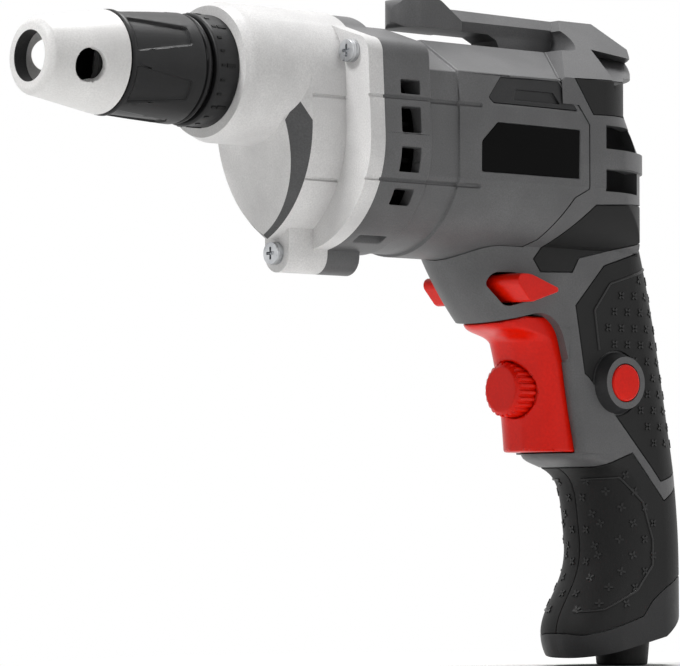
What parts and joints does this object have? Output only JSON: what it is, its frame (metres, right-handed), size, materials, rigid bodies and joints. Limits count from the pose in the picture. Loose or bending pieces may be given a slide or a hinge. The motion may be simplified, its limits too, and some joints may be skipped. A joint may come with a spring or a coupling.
{
  "type": "electric screwdriver",
  "caption": "Corded drywall screwdriver with a pistol grip, depth-setting nose, red trigger with speed dial, reversing lever and moulded belt hook.",
  "frame": {"origin": "mouth of the spindle's hex bit socket, on the spindle axis", "axes": "-X along the spindle out of the nose, -Z down the handle, -Y to the tool's left, where the lock button is; y = 0 is the plane between the handle shells"},
  "size_m": [0.2755, 0.0712, 0.2253],
  "materials": {
    "case_paint": "fine textured satin",
    "collar_plastic": "satin",
    "nose_plastic": "satin",
    "barrel_plastic": "satin",
    "black_plastic": "matte",
    "label_film": "gloss",
    "red_plastic": "semi-gloss",
    "grip_rubber": "matte",
    "seal_rubber": "matte",
    "steel": "machined",
    "spring_steel": "drawn wire",
    "bronze": "sintered",
    "aluminium": "cast",
    "lamination": "stacked sheet",
    "copper": "enamelled wire",
    "carbon": "pressed carbon"
  },
  "bodies": {
    "housing": {"index_ring": "collar_plastic", "collar_circlip": "spring_steel", "gear_case": "case_paint", "gear_case_screws": "steel", "spindle_bush": "bronze", "spindle_seal": "seal_rubber", "gear_pin": "steel", "gear_thrust_washer": "steel", "bearing_plate": "aluminium", "front_bearing": "steel", "rear_bearing": "steel", "bearing_boot": "seal_rubber", "air_guide": "black_plastic", "stator_core": "lamination", "field_coils": "copper", "brush_holders": "black_plastic", "carbon_brushes": "carbon", "brush_springs": "spring_steel", "motor_housing": "barrel_plastic", "side_trims": "barrel_plastic", "side_labels": "label_film", "handle_shell_left": "barrel_plastic", "handle_shell_right": "barrel_plastic", "upper_bumpers": "grip_rubber", "lower_bumpers": "grip_rubber", "palm_pad_left": "grip_rubber", "palm_pad_right": "grip_rubber", "finger_pad_left": "grip_rubber", "finger_pad_right": "grip_rubber", "handle_screws": "steel", "lock_spring": "spring_steel", "switch_body": "black_plastic", "trigger_spring": "spring_steel", "cable_gland": "grip_rubber", "cord_clamp": "black_plastic", "cord_clamp_screws": "steel", "terminal_block": "black_plastic", "capacitor": "black_plastic"},
    "collar": {"depth_collar": "collar_plastic"},
    "locator": {"locator_sleeve": "black_plastic", "nose_o_ring": "seal_rubber"},
    "nose": {"nose_piece": "nose_plastic"},
    "spindle_carrier": {"spindle_thrust_washer": "steel"},
    "spindle": {"spindle": "steel", "bit_ball": "steel", "bit_clip": "spring_steel", "driven_dog": "steel"},
    "gear": {"output_gear": "steel", "gear_bush": "bronze", "clutch_spring": "spring_steel"},
    "armature": {"armature_shaft": "steel", "armature_core": "lamination", "armature_windings": "copper", "commutator": "copper", "fan": "black_plastic"},
    "trigger": {"trigger": "red_plastic"},
    "dial": {"speed_dial": "red_plastic"},
    "lock": {"lock_button": "red_plastic"},
    "lever": {"reversing_lever": "red_plastic"}
  },
  "joints": [
    {"name": "armature_turn", "type": "hinge", "parent": "housing", "child": "armature", "pos_m": [0.119, 0, -0.021], "axis": [1, 0, 0], "continuous": true},
    {"name": "gear_turn", "type": "hinge", "parent": "housing", "child": "gear", "pos_m": [0.055, 0, 0], "axis": [1, 0, 0], "continuous": true},
    {"name": "spindle_push", "type": "slide", "parent": "housing", "child": "spindle_carrier", "axis": [1, 0, 0], "range_m": [0, 0.0035], "stiffness_N_per_m": 3000, "springref_m": -0.002, "deforming": ["clutch_spring"]},
    {"name": "spindle_turn", "type": "hinge", "parent": "spindle_carrier", "child": "spindle", "pos_m": [0.02, 0, 0], "axis": [1, 0, 0], "continuous": true},
    {"name": "collar_turn", "type": "hinge", "parent": "housing", "child": "collar", "pos_m": [0, 0, 0], "axis": [1, 0, 0], "range_deg": [0, 1080]},
    {"name": "depth_slide", "type": "slide", "parent": "housing", "child": "locator", "axis": [-1, 0, 0], "range_m": [0, 0.006]},
    {"name": "nose_pull", "type": "slide", "parent": "locator", "child": "nose", "axis": [-1, 0, 0], "range_m": [0, 0.012]},
    {"name": "trigger_pull", "type": "slide", "parent": "housing", "child": "trigger", "axis": [1, 0, 0], "range_m": [0, 0.0065], "stiffness_N_per_m": 600, "springref_m": -0.006, "deforming": ["trigger_spring"]},
    {"name": "dial_turn", "type": "hinge", "parent": "trigger", "child": "dial", "pos_m": [0.155, 0, -0.0998], "axis": [1, 0, 0], "range_deg": [0, 300]},
    {"name": "lock_push", "type": "slide", "parent": "housing", "child": "lock", "axis": [0, 1, 0], "range_m": [0, 0.003], "stiffness_N_per_m": 500, "springref_m": -0.002, "deforming": ["lock_spring"]},
    {"name": "reverse_swing", "type": "hinge", "parent": "housing", "child": "lever", "pos_m": [0.16, 0, -0.066], "axis": [0, 0, 1], "range_deg": [-12, 0]}
  ],
  "couplings": [
    {"joint": "gear_turn", "follows": "armature_turn", "ratio": -0.27273},
    {"joint": "spindle_turn", "follows": "armature_turn", "ratio": -0.27273},
    {"joint": "collar_turn", "follows": "depth_slide", "rad_per_m": 3141.6}
  ]
}
